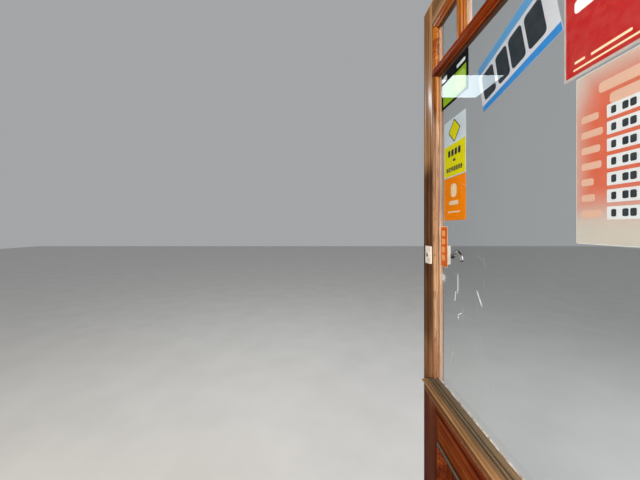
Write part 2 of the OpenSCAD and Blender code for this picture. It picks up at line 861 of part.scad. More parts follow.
hinge_jamb();
latch_jamb();
frame_head();
threshold();
hinge_stop();
latch_stop();
head_stop();
frame_hinge_leaf(0);  // frame_hinge_leaf_top
frame_hinge_leaf(1);  // frame_hinge_leaf_middle
frame_hinge_leaf(2);  // frame_hinge_leaf_bottom
hinge_pin(0);  // hinge_pin_top
hinge_pin(1);  // hinge_pin_middle
hinge_pin(2);  // hinge_pin_bottom
latch_keep();
hinge_stile();
leading_stile();
top_rail();
transom_bar();
glazing_bar(0);  // glazing_bar_1
glazing_bar(1);  // glazing_bar_2
glazing_bar(2);  // glazing_bar_3
lock_rail();
bottom_rail();
sill_moulding();
lower_panel();
panel_moulding();
panel_beads();
pane_moulding();
top_light_moulding();
pane_beads();
top_light_beads();
main_pane();
top_pane(0);  // top_pane_1
top_pane(1);  // top_pane_2
top_pane(2);  // top_pane_3
top_pane(3);  // top_pane_4
door_hinge_leaf(0);  // door_hinge_leaf_top
door_hinge_leaf(1);  // door_hinge_leaf_middle
door_hinge_leaf(2);  // door_hinge_leaf_bottom
latch_case();
cylinder_plate();
cylinder_body();  // cylinder
lever_handle();
latch_bolt();
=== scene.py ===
import json
import math

import bpy
from mathutils import Matrix, Vector


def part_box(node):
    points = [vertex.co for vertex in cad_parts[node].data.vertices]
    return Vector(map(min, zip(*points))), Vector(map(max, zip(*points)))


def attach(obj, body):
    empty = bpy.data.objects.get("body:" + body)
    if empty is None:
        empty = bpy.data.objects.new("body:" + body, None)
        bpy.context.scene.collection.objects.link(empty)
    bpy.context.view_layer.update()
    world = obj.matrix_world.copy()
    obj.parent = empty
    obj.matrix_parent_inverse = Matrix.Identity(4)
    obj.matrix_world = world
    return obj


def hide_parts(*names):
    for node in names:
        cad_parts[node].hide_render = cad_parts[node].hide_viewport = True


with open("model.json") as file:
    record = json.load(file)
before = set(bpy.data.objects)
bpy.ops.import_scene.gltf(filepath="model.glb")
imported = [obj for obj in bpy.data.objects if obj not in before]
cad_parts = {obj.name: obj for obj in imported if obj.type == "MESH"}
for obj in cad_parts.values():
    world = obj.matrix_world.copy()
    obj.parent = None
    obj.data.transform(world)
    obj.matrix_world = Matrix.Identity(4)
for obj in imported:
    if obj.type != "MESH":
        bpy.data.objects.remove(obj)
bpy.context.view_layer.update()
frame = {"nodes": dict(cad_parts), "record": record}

# Camera
# The photograph looks straight along the open leaf from just outside the doorway, level, at chest height,
# through a 16 mm lens. The small shift gives back what was cropped from the picture.
PHOTO_WIDTH = 640
PHOTO_MIDDLE = (320.0, 240.0)
VANISHING_POINT = (314.5, 227.0)
EYE = (-0.5244, -0.1557, 1.359)
LENS_MM = 16
SENSOR_MM = 36
NEAREST = 0.02
camera = bpy.data.objects.new("camera", bpy.data.cameras.new("camera"))
bpy.context.scene.collection.objects.link(camera)
bpy.context.scene.camera = camera
camera.data.lens = LENS_MM
camera.data.sensor_width = SENSOR_MM
camera.data.shift_x = (PHOTO_MIDDLE[0] - VANISHING_POINT[0]) / PHOTO_WIDTH
camera.data.shift_y = (VANISHING_POINT[1] - PHOTO_MIDDLE[1]) / PHOTO_WIDTH
camera.data.clip_start = NEAREST
camera.location = EYE
camera.rotation_euler = (math.radians(90), 0, 0)
bpy.context.scene.view_settings.view_transform = "Standard"

# Floor and light
# A pale painted studio floor in an even pale surround. Gloss shows the surround nearly dark and the floor not
# at all. A large soft key lights the outer side of the leaf and a fill its inner side, and two small ceiling
# panels show in the gloss: one in the glass and the other in the varnish of the leading stile.


def linear(code):
    """The linear colour of an sRGB hex code."""
    parts = [int(code[i:i + 2], 16) / 255 for i in (1, 3, 5)]
    return [c / 12.92 if c <= 0.04045 else ((c + 0.055) / 1.055) ** 2.4 for c in parts] + [1.0]


def add(tree, kind, feeds=None, out=0, stops=None, **settings):
    """Adds a node and gives back its output of that number. feeds gives inputs, by name or number, a value or
    another node's output. stops are the places and colours of a ramp, and settings the node's own."""
    node = tree.nodes.new("ShaderNode" + kind)
    for name, value in settings.items():
        setattr(node, name, value)
    for socket, value in (feeds or {}).items():
        if isinstance(value, bpy.types.NodeSocket):
            tree.links.new(value, node.inputs[socket])
        else:
            node.inputs[socket].default_value = value
    if stops:
        ramp = node.color_ramp.elements
        while len(ramp) < len(stops):
            ramp.new(0.5)
        for element, (place, colour) in zip(ramp, stops):
            element.position = place
            element.color = colour
    return node.outputs[out] if node.outputs else None


def new_material(name):
    """An empty material, with its tree and its Object coordinates."""
    material = bpy.data.materials.new(name)
    material.use_nodes = True
    material.node_tree.nodes.clear()
    return material, material.node_tree, add(material.node_tree, "TexCoord", out=3)


def soft_light(name, place, target, width, height, watts, colour):
    """A soft box at a place, turned to a target."""
    lamp = bpy.data.objects.new(name, bpy.data.lights.new(name, "AREA"))
    bpy.context.scene.collection.objects.link(lamp)
    lamp.data.shape = "RECTANGLE"
    lamp.data.size = width
    lamp.data.size_y = height
    lamp.data.energy = watts
    lamp.data.color = linear(colour)[:3]
    lamp.location = place
    lamp.rotation_euler = (Vector(target) - Vector(place)).to_track_quat("-Z", "Y").to_euler()
    lamp.visible_camera = False
    lamp.visible_transmission = False


FLOOR_SIDE = 40
FLOOR_DROP = 0.001
SURROUND_GLOW = 0.55
SURROUND_IN_GLOSS = 0.03
CEILING = 2.77
PANEL_LIGHT = "#e4f6ff"
world = bpy.data.worlds.new("studio")
bpy.context.scene.world = world
world.use_nodes = True
surround = world.node_tree.nodes["Background"].inputs
surround["Color"].default_value = linear("#d6d8da")
rays = add(world.node_tree, "LightPath").node.outputs
mirrored = add(world.node_tree, "Math", {0: rays["Glossy Depth"], 1: 1}, operation="MINIMUM")
glow = add(world.node_tree, "MapRange", {0: mirrored, 3: SURROUND_GLOW, 4: SURROUND_IN_GLOSS})
world.node_tree.links.new(glow, surround["Strength"])

# Matt emulsion with faint clouds 330 mm wide
floor_paint, tree, place = new_material("painted_studio_floor")
mottle = add(tree, "TexNoise", {"Vector": place, "Scale": 3, "Detail": 4})
tone = add(tree, "ValToRGB", {0: mottle}, stops=[(0.3, linear("#dfdedb")), (0.7, linear("#e6e5e2"))])
shade = add(tree, "BsdfPrincipled", {"Base Color": tone, "Roughness": 0.7})
add(tree, "OutputMaterial", {"Surface": shade})
bpy.ops.object.select_all(action="DESELECT")
bpy.ops.mesh.primitive_plane_add(size=FLOOR_SIDE, location=(0, 0, -FLOOR_DROP))
floor = bpy.context.object
floor.name = "studio_floor"
floor.data.materials.append(floor_paint)
floor.visible_glossy = False

soft_light("key", place=(-2.4, -2.2, 2.7), target=(-0.1, 0.6, 1.2), width=2.0, height=2.0, watts=150,
           colour="#fff3e4")
soft_light("fill", place=(2.4, -0.3, 2.4), target=(-0.1, 0.5, 1.2), width=2.0, height=2.0, watts=60,
           colour="#f4f6ff")
for name, x, y, width, height, watts in (("ceiling_panel", -1.187, 2.716, 0.475, 0.457, 4),
                                         ("ceiling_panel_beside", -0.79, 2.80, 0.28, 0.45, 2.4)):
    soft_light(name, (x, y, CEILING), (x, y, 0), width, height, watts, PANEL_LIGHT)

# Stiles
# The two uprights of the leaf: one piece of reddish hardwood each, slim beside the glass and wider beside the
# panel, mortised for the rails. The varnish is rubbed off their eased arrises. A pale band above the sill is
# a painted reflection, and towards the foot they are a darker red, partly the wood's tone and partly a
# painted reflection.
SILVERED = "#6f6a5e"
# Near-black brown for dirt and for the painted shade in corners and under things
DIRT_AND_SHADE = "#1a0e07"
ARRIS_RADIUS = 2.5
# How wide in mm one ring of the wave texture is at scale 1
RING_AT_SCALE_1 = 314


def varnished_hardwood(name, grain, tones, pith=(0.0, 0.0, 0.0), band=100, streak=0.5, gloss=0.12, coat=0.3,
                       specular=0.3, knotty=0.0, grey=0.0, grime_and_shade=0.85, reach=0.006, rub_and_highlight=0.7, faded=(),
                       stained=None, kept_varnish_and_shade=None, downward_shade=None, dust=None, flaked=0.0):
    """Open-pored hardwood under varnish. tones go from deep to light, and the last one is rubbed bare wood.
    pith is the tree's middle in the board's own frame in metres, band the width in mm of a band of figure,
    streak how soft its dark streaks are, and knotty how many knots a board a metre wide would have across it.
    gloss is the varnish's roughness, and coat and specular how strongly it and the wood under it shine. grey
    is how much has gone silver, grime how dark the corners and the places under things are painted, for soil
    and for shade, reach how far that spreads in metres, and rub how much of the arrises is rubbed bare, which
    also paints highlights on them. Each faded place and stained give the heights in metres between which the
    wood turns paler or a stain sets in, and how much. A faded place may also have a height where it ends, and
    stained has its colour. sheltered gives the height below which the varnish is left and shade is painted,
    and its colour, unfaded the colour of the painted shade on faces that look down, and dust how much lies on
    faces that look up, and its colour. flaked is how dark the flakes of old varnish are that are left."""
    material, tree, place = new_material(name)
    turn = {"upright": (0, 0, 0), "level": (math.pi / 2, 0, 0), "across": (0, math.pi / 2, 0)}[grain]
    deep, middle, light, bare = [linear(t) for t in tones]
    board = add(tree, "Mapping", {"Vector": place, "Rotation": turn, "Location": pith})
    # The board's frame with its length cut to a share, which draws patterns out along the grain
    drawn_out = {share: add(tree, "VectorMath", {0: board, 1: (1, 1, share)}, operation="MULTIPLY")
                 for share in (0.02, 0.03, 0.12, 0.16, 0.35)}
    # Broad bands of figure round the pith, bent by a wander 170 mm wide and 1.4 m long
    wander = add(tree, "TexNoise", {"Vector": drawn_out[0.12], "Scale": 6, "Detail": 2}, out=1)
    bent = add(tree, "VectorMath", {0: wander, 1: (0.06, 0.06, 0.02), 2: drawn_out[0.02]},
               operation="MULTIPLY_ADD")
    bands = add(tree, "TexWave", {"Vector": bent, "Scale": RING_AT_SCALE_1 / band, "Distortion": 5,
                                  "Detail": 3, "Detail Scale": 1.6},
                out=1, wave_type="RINGS", rings_direction="Z")
    # Streaks from 12 mm down to half a millimetre wide, pores of half a millimetre drawn 1 mm wide so that
    # they show, and patches 140 mm wide and 400 mm long
    streaks = add(tree, "TexNoise", {"Vector": drawn_out[0.02], "Scale": 80, "Detail": 5, "Roughness": 0.65})
    pores = add(tree, "TexNoise", {"Vector": drawn_out[0.03], "Scale": 1000, "Detail": 2})
    open_pores = add(tree, "MapRange", {0: pores, 1: 0.56, 2: 0.70})
    patches = add(tree, "TexNoise", {"Vector": drawn_out[0.35], "Scale": 7, "Detail": 4, "Roughness": 0.6})
    figure = add(tree, "Math", {0: bands, 1: 0.14, 2: streaks}, operation="MULTIPLY_ADD")
    figure = add(tree, "Math", {0: patches, 1: 0.55, 2: figure}, operation="MULTIPLY_ADD")
    colour = add(tree, "ValToRGB", {0: figure},
                 stops=[(0.70 - 0.2 * streak, deep), (0.84, middle), (1.0, light)])
    #     What lies over the wood and the painted shade, each layer over the one before: how much of it there
    #     is, and its colour
    layers = [(add(tree, "Math", {0: open_pores, 1: 0.5}, operation="MULTIPLY"), deep)]
    if knotty:
        # Knots 18 to 27 mm wide in a dark halo three times as wide, all twice as long as they are wide
        flat = add(tree, "VectorMath", {0: board, 1: (0, 1, 0.45)}, operation="MULTIPLY")
        blur = add(tree, "VectorMath", {0: wander, 1: (0, 0.03, 0.03), 2: flat}, operation="MULTIPLY_ADD")
        knots = add(tree, "TexVoronoi", {"Vector": blur, "Scale": knotty})
        layers.append((add(tree, "MapRange", {0: knots, 1: 0.03, 2: 0.09, 3: 0.85, 4: 0.0}), deep))
    if grey:
        silver = add(tree, "MapRange", {0: patches, 1: 0.38, 2: 0.62, 3: grey, 4: 0.0})
        layers.append((silver, linear(SILVERED)))
    height = add(tree, "SeparateXYZ", {0: place}).node.outputs[2]
    level = add(tree, "SeparateXYZ", {0: add(tree, "NewGeometry", out=1)}).node.outputs[2]
    # Sun, stain and dust are broken by the streaks, and the edge of a faded place wanders by 100 mm each way
    broken = add(tree, "MapRange", {0: streaks, 1: 0.35, 2: 0.65, 3: 0.4, 4: 1.4})
    for none, full, most, *end in faded:
        edge = add(tree, "Math", {0: wander, 1: 0.2, 2: height}, operation="MULTIPLY_ADD")
        bleach = add(tree, "MapRange", {0: edge, 1: none + 0.1, 2: full + 0.1, 3: 0.0, 4: most})
        if end:
            kept = add(tree, "MapRange", {0: edge, 1: end[0] + 0.1, 2: end[0] + 0.18})
            bleach = add(tree, "Math", {0: bleach, 1: kept}, operation="MULTIPLY")
        layers.append((add(tree, "Math", {0: bleach, 1: broken}, operation="MULTIPLY"), bare))
    if flaked:
        # Flakes 8 mm wide and 50 mm long
        flakes = add(tree, "TexNoise", {"Vector": drawn_out[0.16], "Scale": 125, "Detail": 4,
                                        "Roughness": 0.6})
        layers.append((add(tree, "MapRange", {0: flakes, 1: 0.56, 2: 0.64, 3: 0.0, 4: flaked}), deep))
    # Faces that look down are painted darker, as shade
    if downward_shade:
        under = add(tree, "MapRange", {0: level, 1: -0.3, 2: -0.6, 3: 0.0, 4: 0.85})
        layers.append((under, linear(downward_shade)))
    # Below a height the darker varnish is kept, which also paints the shade under the nose
    if kept_varnish_and_shade:
        under = add(tree, "MapRange", {0: height, 1: kept_varnish_and_shade[0], 2: kept_varnish_and_shade[0] - 0.003, 3: 0.0, 4: 0.85})
        layers.append((under, linear(kept_varnish_and_shade[1])))
    #     Varnish rubbed through along the arrises, about 2 mm wide and broken by the streaks. The pale bare
    #     wood there is also a painted highlight on the edges.
    corner = add(tree, "AmbientOcclusion", {"Distance": reach}, out=1, samples=6)
    rounded = add(tree, "Bevel", {"Radius": ARRIS_RADIUS / 1000}, samples=6)
    turned = add(tree, "VectorMath", {0: rounded, 1: add(tree, "NewGeometry", out=1)}, out=1,
                 operation="DOT_PRODUCT")
    arris = add(tree, "MapRange", {0: turned, 1: 0.985, 2: 0.90})
    arris = add(tree, "Math", {0: arris, 1: add(tree, "MapRange", {0: corner, 1: 0.75, 2: 0.95})},
                operation="MULTIPLY")
    rubbed_and_highlit = add(tree, "MapRange", {0: streaks, 1: 0.75 - rub_and_highlight * 0.4, 2: 0.85 - rub_and_highlight * 0.4, 3: 0.0, 4: 0.9})
    rubbed_and_highlit = add(tree, "Math", {0: arris, 1: rubbed_and_highlit}, operation="MULTIPLY")
    layers.append((rubbed_and_highlit, bare))
    if stained:
        stain = add(tree, "MapRange", {0: height, 1: stained[0], 2: stained[1], 3: 0.0, 4: stained[2]})
        stain = add(tree, "Math", {0: stain, 1: broken}, operation="MULTIPLY")
        layers.append((stain, linear(stained[3])))
    if dust:
        # Dust in flecks from 10 mm down to half a millimetre wide
        lying = add(tree, "MapRange", {0: level, 1: 0.5, 2: 0.8, 3: 0.0, 4: dust[0]})
        lying = add(tree, "Math", {0: lying, 1: broken}, operation="MULTIPLY")
        flecks = add(tree, "TexNoise", {"Vector": place, "Scale": 100, "Detail": 4, "Roughness": 0.8})
        flecks = add(tree, "MapRange", {0: flecks, 1: 0.4, 2: 0.58, 3: 1.4, 4: 0.3})
        lying = add(tree, "Math", {0: lying, 1: flecks}, operation="MULTIPLY", use_clamp=True)
        layers.append((lying, linear(dust[1])))
    #     Dirt and painted shade in the corners and under things, from ambient occlusion, uneven
    corner_dirt_and_shade = add(tree, "Math", {0: streaks, 1: 0.5, 2: corner}, operation="MULTIPLY_ADD")
    layers.append((add(tree, "MapRange", {0: corner_dirt_and_shade, 1: 0.75, 2: 1.15, 3: grime_and_shade, 4: 0.0}), linear(DIRT_AND_SHADE)))
    for share, over in layers:
        colour = add(tree, "Mix", {0: share, 6: colour, 7: over}, out=2, data_type="RGBA")
    # The wood is duller in some patches than in others, pores and streaks show in the varnish, and its gloss
    # is gone where it is rubbed through
    rough = add(tree, "MapRange", {0: patches, 1: 0.35, 2: 0.75, 3: gloss + 0.14, 4: gloss + 0.4})
    relief = add(tree, "Math", {0: open_pores, 1: -0.6, 2: streaks}, operation="MULTIPLY_ADD")
    fine = add(tree, "Bump", {"Height": relief, "Strength": 0.35, "Distance": 0.00025})
    surface = add(tree, "Bump", {"Height": patches, "Strength": 0.3, "Distance": 0.0012, "Normal": fine})
    varnish = add(tree, "MapRange", {0: rubbed_and_highlit, 3: coat, 4: 0.0})
    shade = add(tree, "BsdfPrincipled", {"Base Color": colour, "Roughness": rough, "IOR": 1.5,
                                         "Specular IOR Level": specular, "Normal": surface,
                                         "Coat Weight": varnish, "Coat Roughness": gloss,
                                         "Coat Normal": surface})
    add(tree, "OutputMaterial", {"Surface": shade})
    return material


def select_only(*objects):
    """Selects these objects and nothing else; the last one is active."""
    bpy.ops.object.select_all(action="DESELECT")
    for one in objects:
        one.select_set(True)
    bpy.context.view_layer.objects.active = objects[-1]


BODY = {node: body for body, nodes in frame["record"]["behaviour"]["bodies"].items() for node in nodes}
MERGE_WITHIN = 0.00001
FLAT_WITHIN = math.radians(0.5)
SHARP_OVER = math.radians(38)
SMOOTH_UNDER = math.radians(35)


def finished_solid(node, suffix, ease, finish):
    """A merged copy of a solid, which stands for it under its name and a suffix. Its sharp edges are eased by
    so many mm, and its finish is a material."""
    piece = bpy.data.objects.new(node + suffix, frame["nodes"][node].data.copy())
    bpy.context.scene.collection.objects.link(piece)
    select_only(piece)
    bpy.ops.object.mode_set(mode="EDIT")
    bpy.ops.mesh.select_all(action="SELECT")
    bpy.ops.mesh.remove_doubles(threshold=MERGE_WITHIN)
    bpy.ops.mesh.dissolve_limited(angle_limit=FLAT_WITHIN)
    bpy.ops.mesh.customdata_custom_splitnormals_clear()
    bpy.ops.object.mode_set(mode="OBJECT")
    piece.data.materials.clear()
    piece.data.materials.append(finish)
    bevel = piece.modifiers.new("eased", "BEVEL")
    bevel.width = ease / 1000
    bevel.segments = 2
    bevel.limit_method = "ANGLE"
    bevel.angle_limit = SHARP_OVER
    bpy.ops.object.modifier_apply(modifier="eased")
    bpy.ops.object.shade_smooth_by_angle(angle=SMOOTH_UNDER)
    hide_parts(node)
    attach(piece, BODY[node])


STILE_TONES = ("#2a1406", "#5f3619", "#90623a", "#dca46c")
# The third band, from 0.98 m down to 0.74 m, is a painted reflection of something pale
STILE_FADE_AND_REFLECTION = ((1.56, 1.62, 0.66), (1.22, 1.16, 0.12, 0.9), (0.98, 0.92, 0.4, 0.74))
# The stain from 0.95 m down is partly the wood's darker tone and partly a painted red reflection
stile_varnish = varnished_hardwood("varnished_stile_hardwood", "upright", STILE_TONES, pith=(0.19, -0.75, 0),
                                   band=120, gloss=0.2, coat=1.0, knotty=2.6, faded=STILE_FADE_AND_REFLECTION,
                                   stained=(0.95, 0.68, 0.55, "#74281a"))
for node in ("hinge_stile", "leading_stile"):
    finished_solid(node, "_timber", 1.6, stile_varnish)

# Rails
# The top, lock and bottom rails of the leaf, tenoned between the stiles. The lock rail's ends follow the
# sloping shoulders of the stiles. The same hardwood with its grain level, under an orange-brown varnish that
# has faded on the top rail as it has on the stiles.
RAIL_TONES = ("#3e1202", "#883202", "#b45808", "#dba873")
# The rails' corner darkening reaches 14 mm, so dirt and a painted shade lie under the sill moulding on the
# lock rail
rail_varnish = varnished_hardwood("varnished_rail_hardwood", "level", RAIL_TONES, pith=(0.17, 0.66, 0),
                                  band=140, knotty=2.2, reach=0.014)
top_rail_varnish = varnished_hardwood("varnished_top_rail_hardwood", "level", STILE_TONES,
                                      pith=(0.16, 2.2, 0), band=120, gloss=0.16, faded=((1.56, 1.62, 0.55),))
finished_solid("top_rail", "_timber", 1.2, top_rail_varnish)
for node in ("lock_rail", "bottom_rail"):
    finished_solid(node, "_timber", 1.2, rail_varnish)

# Transom bar and glazing bars
# The bar across the head of the main pane is moulded on both edges, and the three upright bars stand in
# notches cut through its moulding. The transom bar's varnish has deepened to an orange-red.
TRANSOM_TONES = ("#4a1000", "#a43600", "#cc6004", "#ec9e54")
BAR_TONES = ("#702a06", "#b25a08", "#ca7a1c", "#f0c694")
transom_varnish = varnished_hardwood("varnished_transom_hardwood", "level", TRANSOM_TONES,
                                     pith=(0.12, 1.8, 0), band=80, gloss=0.14, coat=0.1, specular=0.05,
                                     rub_and_highlight=1.0)
upright_bar_varnish = varnished_hardwood("varnished_glazing_bar_hardwood", "upright", BAR_TONES,
                                         pith=(0.11, -0.5, 0), band=80)
finished_solid("transom_bar", "_timber", 0.4, transom_varnish)
for node in ("glazing_bar_1", "glazing_bar_2", "glazing_bar_3"):
    finished_solid(node, "_timber", 0.4, upright_bar_varnish)

# Mouldings round the glass
# Ovolo strips with a quirk along them, mitred at the corners and pinned into the rebates. Years of hands and
# of sun have taken the varnish off the lower ones in flakes and off their arrises, whose pale bare wood is
# also a painted highlight, and dirt and painted shade darken the quirk.
MOULDING_TONES = ("#6a300c", "#aa641e", "#ca8636", "#f1c9a2")
moulding_varnish = varnished_hardwood("varnished_moulding_hardwood", "upright", MOULDING_TONES,
                                      pith=(0.13, -0.79, 0), band=60, streak=-0.2, gloss=0.18, knotty=3.4,
                                      grime_and_shade=0.5, reach=0.004, rub_and_highlight=1.1, faded=((1.77, 1.72, 0.5),),
                                      stained=(1.0, 0.93, 0.42, "#984816"), flaked=0.55)
top_varnish = varnished_hardwood("varnished_top_light_moulding", "level", BAR_TONES, pith=(0.11, 1.9, 0),
                                 band=80)
finished_solid("pane_moulding", "_timber", 0.4, moulding_varnish)
finished_solid("top_light_moulding", "_timber", 0.4, top_varnish)

# Beads behind the glass
# Splayed beads of the same timber, pinned from the inner side. Their outer edges show through the glass, and
# the sun has bleached them, while their faces that look down are painted dark as shade. The ones round the
# main pane are less bleached above the latch than below it.
BEAD_TONES = ("#a87a5c", "#d0a98e", "#ead2c0", "#f8ece2")
for node, name, stain in (("pane_beads", "varnished_bead_hardwood", (1.36, 1.44, 0.5, "#6e4a34")),
                          ("top_light_beads", "varnished_small_bead_hardwood", None)):
    bead_varnish = varnished_hardwood(name, "upright", BEAD_TONES, pith=(0.13, -0.5, 0), gloss=0.2, grime_and_shade=0.2,
                                      reach=0.002, downward_shade="#54301a", stained=stain)
    finished_solid(node, "_timber", 0.6, bead_varnish)

# Sill moulding
# A weather moulding planted over the lock rail, its ends cut down on the splay: a plain face over a cove, and
# a top that slopes up to the glass, with two quirks and a bead run along it. Rain and sun have taken most of
# its varnish, except in the cove, which is darker both for that and as painted shade, and turned the top
# grey.
# Dust lies on it, and dirt and painted shade darken the quirks.
SILL_TONES = ("#68401c", "#d09a60", "#e8b87c", "#f4d9b0")
sill_wood = varnished_hardwood("weathered_sill_hardwood", "level", SILL_TONES, pith=(0.14, 0.9, 0), band=80,
                               streak=0.3, gloss=0.3, coat=0.2, grey=0.2, grime_and_shade=1.0, reach=0.008, rub_and_highlight=1.1,
                               stained=(0.811, 0.828, 0.8, "#43372a"), kept_varnish_and_shade=(0.788, "#763608"),
                               dust=(0.8, "#70644f"))
finished_solid("sill_moulding", "_timber", 0.7, sill_wood)

# Lower panel and its raised moulding
# A plain panel held in the frame by quadrant beads, with a raised moulding mitred round it on the outer side.
# Dust lies on the moulding's upper edge, and thinly on the beads.
PANEL_TONES = ("#401304", "#7e330b", "#a45216", "#c08a58")
panel_varnish = varnished_hardwood("varnished_panel_hardwood", "upright", PANEL_TONES, pith=(0.2, -0.45, 0),
                                   band=180, gloss=0.1)
raised_varnish = varnished_hardwood("varnished_raised_moulding", "level", PANEL_TONES, pith=(0.12, 0.6, 0),
                                    gloss=0.14, grime_and_shade=0.6, reach=0.003,
                                    stained=(0.628, 0.633, 0.8, "#6c665c"), dust=(0.9, "#7c766c"))
quadrant_varnish = varnished_hardwood("varnished_quadrant_bead", "level", PANEL_TONES, pith=(0.12, 0.6, 0),
                                      gloss=0.14, dust=(0.35, "#70644f"))
finished_solid("lower_panel", "_timber", 0.8, panel_varnish)
finished_solid("panel_moulding", "_timber", 0.6, raised_varnish)
finished_solid("panel_beads", "_timber", 0.6, quadrant_varnish)

# Sealant
# An old fillet of pale sealant, run by hand between the top of the sill moulding and the glass. It is dirty,
# and its upper edge is uneven.
leaf_corner = Vector(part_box("hinge_stile")[0])
GLASS_FACE = 15.3
SEALANT_SPAN = (96.5, 767.5)
SEALANT_STEPS = 160
SEALANT_SMOOTH_UNDER = math.radians(50)


def on_leaf(x, y, z):
    """A place on the open leaf: mm in from its outer face, from its hinge edge and up from its foot."""
    return leaf_corner + Vector((x, y, z)) / 1000


# Cured silicone: a rubbery dull skin, soiled in clouds 11 mm wide
sealant, tree, place = new_material("aged_pale_sealant")
cloud = add(tree, "TexNoise", {"Vector": place, "Scale": 90, "Detail": 4})
tone = add(tree, "ValToRGB", {0: cloud}, stops=[(0.38, linear("#9c9288")), (0.6, linear("#dcd4cc"))])
skin = add(tree, "Bump", {"Height": cloud, "Strength": 0.4, "Distance": 0.0006})
shade = add(tree, "BsdfPrincipled", {"Base Color": tone, "Roughness": 0.55, "Normal": skin})
add(tree, "OutputMaterial", {"Surface": shade})
# A four-sided rod, cut into steps and then laid along the glass with each corner in its own place
bpy.ops.object.select_all(action="DESELECT")
bpy.ops.mesh.primitive_cylinder_add(vertices=4, radius=0.001, depth=1)
fillet = bpy.context.object
bpy.ops.object.mode_set(mode="EDIT")
for k in range(1, SEALANT_STEPS):
    bpy.ops.mesh.select_all(action="SELECT")
    bpy.ops.mesh.bisect(plane_co=(0, 0, k / SEALANT_STEPS - 0.5), plane_no=(0, 0, 1))
bpy.ops.object.mode_set(mode="OBJECT")
for vertex in fillet.data.vertices:
    share = vertex.co.z + 0.5
    y = SEALANT_SPAN[0] + share * (SEALANT_SPAN[1] - SEALANT_SPAN[0])
    # The hand wavered over 58, 145 and 26 mm
    wave = math.sin(y / 9.3) + math.sin(y / 23.1 + 1) + 0.6 * math.sin(y / 4.1 + 2)
    # The corners of the section: heel and upper edge on the glass, crown, and toe on the sill
    section = ((GLASS_FACE - 0.05, 818.0), (GLASS_FACE - 0.1, 822.2 + 0.25 * wave),
               (13.4, 820.3 + 0.1 * wave), (11.4 - 0.2 * wave, 817.0))
    x, z = section[round(math.atan2(vertex.co.y, vertex.co.x) / (math.pi / 2)) % 4]
    vertex.co = on_leaf(x, y, z)
bpy.ops.object.mode_set(mode="EDIT")
bpy.ops.mesh.select_all(action="SELECT")
bpy.ops.mesh.normals_make_consistent(inside=False)
bpy.ops.object.mode_set(mode="OBJECT")
bpy.ops.object.shade_smooth_by_angle(angle=SEALANT_SMOOTH_UNDER)
fillet.name = fillet.data.name = "sealant_fillet"
fillet.data.materials.append(sealant)
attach(fillet, "leaf")

# Glass
# Clear 4 mm float glass: one large pane and four small ones. Light passes through to what is behind. It has
# hair scratches, a few scrapes beside the latch, and a cloudy whitish patch.
glass, tree, place = new_material("clear_float_glass")
# Hair scratches about 1 mm wide and up to 130 mm long, leaning three ways, faint by the hinges and clearest
# by the latch
scratches = 0.0
for lean, least in ((4, 0.735), (-21, 0.76), (68, 0.775)):
    turned = add(tree, "Mapping", {"Vector": place, "Rotation": (math.radians(lean), 0, 0)})
    drawn = add(tree, "VectorMath", {0: turned, 1: (0, 1, 0.012)}, operation="MULTIPLY")
    hair = add(tree, "TexNoise", {"Vector": drawn, "Scale": 620, "Detail": 1})
    hair = add(tree, "MapRange", {0: hair, 1: least, 2: least + 0.05, 3: 0.0, 4: 0.6})
    scratches = add(tree, "Math", {0: hair, 1: scratches}, operation="MAXIMUM")
from_hinges = add(tree, "SeparateXYZ", {0: place}).node.outputs[1]
near_latch = add(tree, "MapRange", {0: from_hinges, 1: 0.45, 2: 0.75, 3: 0.1, 4: 1.0})
scratches = add(tree, "Math", {0: scratches, 1: near_latch}, operation="MULTIPLY")
# Scrapes 2 mm wide: each runs from one place to another, in mm from the hinge edge and up from the foot
SCRAPES = (((642, 1203), (642.5, 1135)), ((654, 1147), (661, 1110)), ((544, 1172), (517, 1131)),
           ((643, 1074), (619, 1088)), ((641, 1074), (638, 1062)))
for start, end in SCRAPES:
    start = on_leaf(GLASS_FACE, *start)
    end = on_leaf(GLASS_FACE, *end)
    length = (end - start).length
    along = (end - start) / length
    from_middle = add(tree, "VectorMath", {0: place, 1: (start + end) / 2}, operation="SUBTRACT")
    side = add(tree, "VectorMath", {0: from_middle, 1: (0, -along.z, along.y)}, out=1,
               operation="DOT_PRODUCT")
    side = add(tree, "Math", {0: side}, operation="ABSOLUTE")
    side = add(tree, "MapRange", {0: side, 1: 0.0006, 2: 0.0016, 3: 0.9, 4: 0.0})
    way = add(tree, "VectorMath", {0: from_middle, 1: along}, out=1, operation="DOT_PRODUCT")
    way = add(tree, "Math", {0: way}, operation="ABSOLUTE")
    way = add(tree, "MapRange", {0: way, 1: length * 0.3, 2: length / 2, 3: 1.0, 4: 0.0})
    scrape = add(tree, "Math", {0: side, 1: way}, operation="MULTIPLY")
    scratches = add(tree, "Math", {0: scrape, 1: scratches}, operation="MAXIMUM")
# A cloudy whitish patch, 45 mm wide and 34 mm high, with an edge that is ragged in steps of 9 mm and finer
WHITISH_PATCH = (738, 1170)
ragged = add(tree, "TexNoise", {"Vector": place, "Scale": 110, "Detail": 4})
from_patch = add(tree, "VectorMath", {0: place, 1: on_leaf(GLASS_FACE, *WHITISH_PATCH)}, operation="SUBTRACT")
from_patch = add(tree, "VectorMath", {0: from_patch, 1: (0, 45, 60)}, operation="MULTIPLY")
from_patch = add(tree, "VectorMath", {0: from_patch}, out=1, operation="LENGTH")
ragged = add(tree, "Math", {0: ragged, 1: 2.2, 2: from_patch}, operation="MULTIPLY_ADD")
whitish_patch = add(tree, "MapRange", {0: ragged, 1: 1.5, 2: 2.1, 3: 0.4, 4: 0.0})
scratches = add(tree, "Math", {0: whitish_patch, 1: scratches}, operation="MAXIMUM")
clear = add(tree, "Math", {0: 1.0, 1: scratches}, operation="SUBTRACT")
